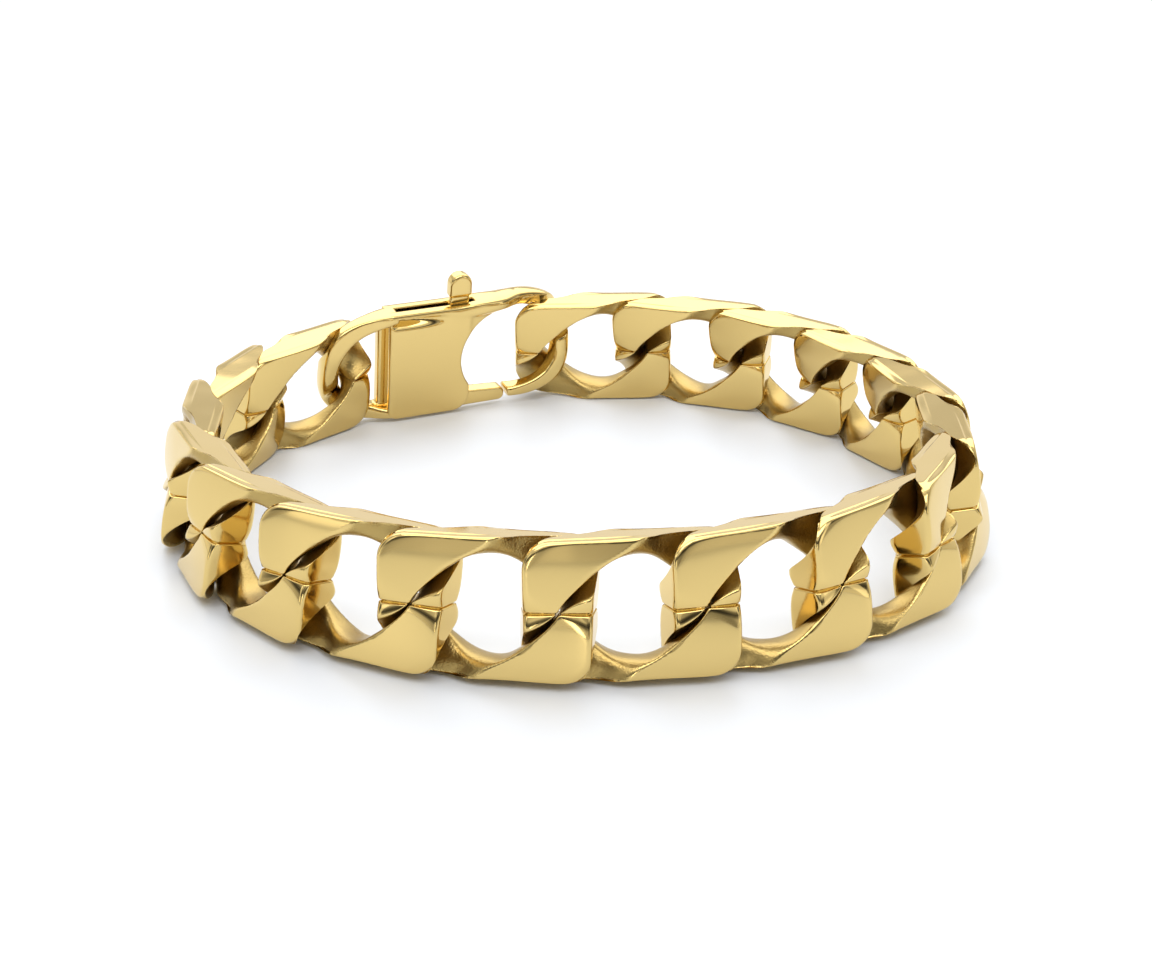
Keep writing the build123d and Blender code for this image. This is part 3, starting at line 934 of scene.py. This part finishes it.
surface = node(metal, "ShaderNodeTexCoord").outputs["Object"]
skin_and_shade_share = node(metal, "ShaderNodeAttribute", {"attribute_name": "cast_skin_and_painted_shade"}).outputs["Fac"]
waves = node(metal, "ShaderNodeTexNoise", Vector=surface, Scale=1 / (WAVE * MM), Detail=0.0)
grains = node(metal, "ShaderNodeTexNoise", Vector=surface, Scale=1 / (GRAIN * MM), Detail=2.0)
wavy = node(metal, "ShaderNodeBump", Strength=1.0, Distance=WAVE_DEPTH * MM, Height=waves.outputs["Fac"])
pebbled = node(metal, "ShaderNodeBump", Strength=skin_and_shade_share, Distance=GRAIN_DEPTH * MM,
               Height=grains.outputs["Fac"], Normal=wavy.outputs["Normal"])
dullness = node(metal, "ShaderNodeMapRange", Value=skin_and_shade_share, To_Min=POLISHED_ROUGHNESS,
                To_Max=CAST_ROUGHNESS)
# Mixing in the darker cast gold by the skin share paints shade into the holes.
colours = node(metal, "ShaderNodeMix", {"data_type": "RGBA"}, Factor=skin_and_shade_share, A=linear(POLISHED_GOLD),
               B=linear(CAST_GOLD_AND_PAINTED_SHADE))
metal.links.new(result_of(colours), shader.inputs["Base Color"])
metal.links.new(pebbled.outputs["Normal"], shader.inputs["Normal"])
metal.links.new(dullness.outputs["Result"], shader.inputs["Roughness"])
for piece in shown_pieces():
    piece.data.materials.clear()
    piece.data.materials.append(gold)

# %% [markdown]
# The stage is a sheet of white acrylic that runs back out of sight, so no edge of it shows behind the
# bracelet. It is matt enough to keep the reflection in it soft. Its white is a little cool, because the
# gold throws warm light onto it.

# %% Table
TABLE = 6.0
TABLE_WHITE = "#e4e8ee"
TABLE_ROUGHNESS = 0.4

table_mesh = bmesh.new()
bmesh.ops.create_grid(table_mesh, x_segments=2, y_segments=2, size=TABLE / 2)
table_data = bpy.data.meshes.new("table")
table_mesh.to_mesh(table_data)
table_mesh.free()
table = bpy.data.objects.new("table", table_data)
bpy.context.scene.collection.objects.link(table)
acrylic = bpy.data.materials.new("white_acrylic_sheet")
acrylic.use_nodes = True
sheet = acrylic.node_tree.nodes["Principled BSDF"]
sheet.inputs["Base Color"].default_value = linear(TABLE_WHITE)
sheet.inputs["Roughness"].default_value = TABLE_ROUGHNESS
table_data.materials.append(acrylic)
print("table side in metres", TABLE)

# %% [markdown]
# A broad softbox hangs above and behind the bracelet, and a smaller one above the front. They light the
# table and the faces that look up. A low narrow strip in front and one at each side add the thin bright
# lines on the upright faces. Area lights are right for this: their size shows in every reflection.

# %% Lights


def soft_light(name, place, width, height, power):
    """An area light at a place in millimetres, aimed at the middle of the bracelet."""
    lamp = bpy.data.lights.new(name, "AREA")
    lamp.shape = "RECTANGLE"
    lamp.size = width * MM
    lamp.size_y = height * MM
    lamp.energy = power
    light = bpy.data.objects.new(name, lamp)
    light.location = Vector(place) * MM
    light.rotation_euler = (-Vector(place)).to_track_quat("-Z", "Y").to_euler()
    bpy.context.scene.collection.objects.link(light)
    return light


soft_light("overhead_softbox", (0, 270, 380), 800, 460, 1.75)
soft_light("front_softbox", (0, -240, 420), 520, 260, 1.0)
soft_light("front_strip", (-52, -420, 62), 36, 110, 0.03)
soft_light("left_strip", (-330, -230, 150), 90, 300, 0.06)
soft_light("right_strip", (360, -190, 150), 90, 300, 0.06)

# %% [markdown]
# Polished metal shows the room more than the lamps. This room is a world of greys: one ramp over the height
# for the front wall and one for the back wall, both darkened by a ramp over the turn round the bracelet.
# The front wall is darkest about 20 degrees up, so that the upright faces mirror something darker than
# white. That is how a photographer gives gold its depth. Grey cards on stands would do it too, but a stop
# on a ramp is quicker to move than a card.

# %% World and ramps
world = bpy.data.worlds.new("studio")
bpy.context.scene.world = world
world.use_nodes = True
walls = world.node_tree
direction = node(walls, "ShaderNodeTexCoord")
split = node(walls, "ShaderNodeSeparateXYZ", Vector=direction.outputs["Generated"])


def wall_ramp(share, stops):
    """A ramp of greys over a share from 0 to 1, from a table of its stops and their hex colours."""
    ramp = node(walls, "ShaderNodeValToRGB", Fac=share)
    ramp.color_ramp.interpolation = "EASE"
    for stop_share, colour in stops:
        stop = ramp.color_ramp.elements.new(stop_share)
        stop.color = linear(colour)
    ramp.color_ramp.elements.remove(ramp.color_ramp.elements[0])
    return ramp.outputs["Color"]


print("world nodes", [made.name for made in walls.nodes])

# %% Greys of the walls
FRONT_STOPS = (
    (0.0, "#ececec"),
    (0.16, "#e0e0e0"),
    (0.25, "#8c8c8c"),
    (0.32, "#505050"),
    (0.42, "#808080"),
    (0.52, "#f4f4f4"),
    (1.0, "#ffffff"),
)
BACK_STOPS = (
    (0.0, "#f0f0f0"),
    (0.06, "#ffffff"),
    (0.28, "#ffffff"),
    (0.38, "#d8d8d8"),
    (0.5, "#e4e4e4"),
    (0.75, "#ffffff"),
    (1.0, "#ffffff"),
)
ROUND_STOPS = (
    (0.0, "#e8e8e8"),
    (0.06, "#bdbdbd"),
    (0.10, "#ffffff"),
    (0.15, "#c6c6c6"),
    (0.21, "#f4f4f4"),
    (0.235, "#ffffff"),
    (0.262, "#cccccc"),
    (0.275, "#fbfbfb"),
    (0.29, "#b4b4b4"),
    (0.325, "#9c9c9c"),
    (0.37, "#f2f2f2"),
    (0.41, "#ffffff"),
    (0.46, "#b9b9b9"),
    (0.52, "#e6e6e6"),
    (0.66, "#ffffff"),
    (0.86, "#ffffff"),
    (1.0, "#e8e8e8"),
)
darkest = min(FRONT_STOPS, key=lambda stop: stop[1])
print("the front wall is darkest up by degrees", round(math.degrees(math.asin(darkest[0])), 1))

# %% Studio walls
BACK_WALL_STARTS = -0.2
BACK_WALL_FULL = 0.4
WALL_STRENGTH = 1.02

azimuth = node(walls, "ShaderNodeMath", {"operation": "ARCTAN2"})
walls.links.new(split.outputs["Y"], azimuth.inputs[0])
walls.links.new(split.outputs["X"], azimuth.inputs[1])
turn_share = node(walls, "ShaderNodeMapRange", Value=azimuth.outputs["Value"], From_Min=-math.pi,
                  From_Max=math.pi)
behind = node(walls, "ShaderNodeMapRange", Value=split.outputs["Y"], From_Min=BACK_WALL_STARTS,
              From_Max=BACK_WALL_FULL)
by_height = node(walls, "ShaderNodeMix", {"data_type": "RGBA"}, Factor=behind.outputs["Result"],
                 A=wall_ramp(split.outputs["Z"], FRONT_STOPS), B=wall_ramp(split.outputs["Z"], BACK_STOPS))
by_turn = wall_ramp(turn_share.outputs["Result"], ROUND_STOPS)
shade = node(walls, "ShaderNodeMix", {"data_type": "RGBA", "blend_type": "MULTIPLY"}, Factor=1.0,
             A=result_of(by_height), B=by_turn)
walls.links.new(result_of(shade), walls.nodes["Background"].inputs["Color"])
walls.nodes["Background"].inputs["Strength"].default_value = WALL_STRENGTH
bpy.context.scene.view_settings.view_transform = "Standard"
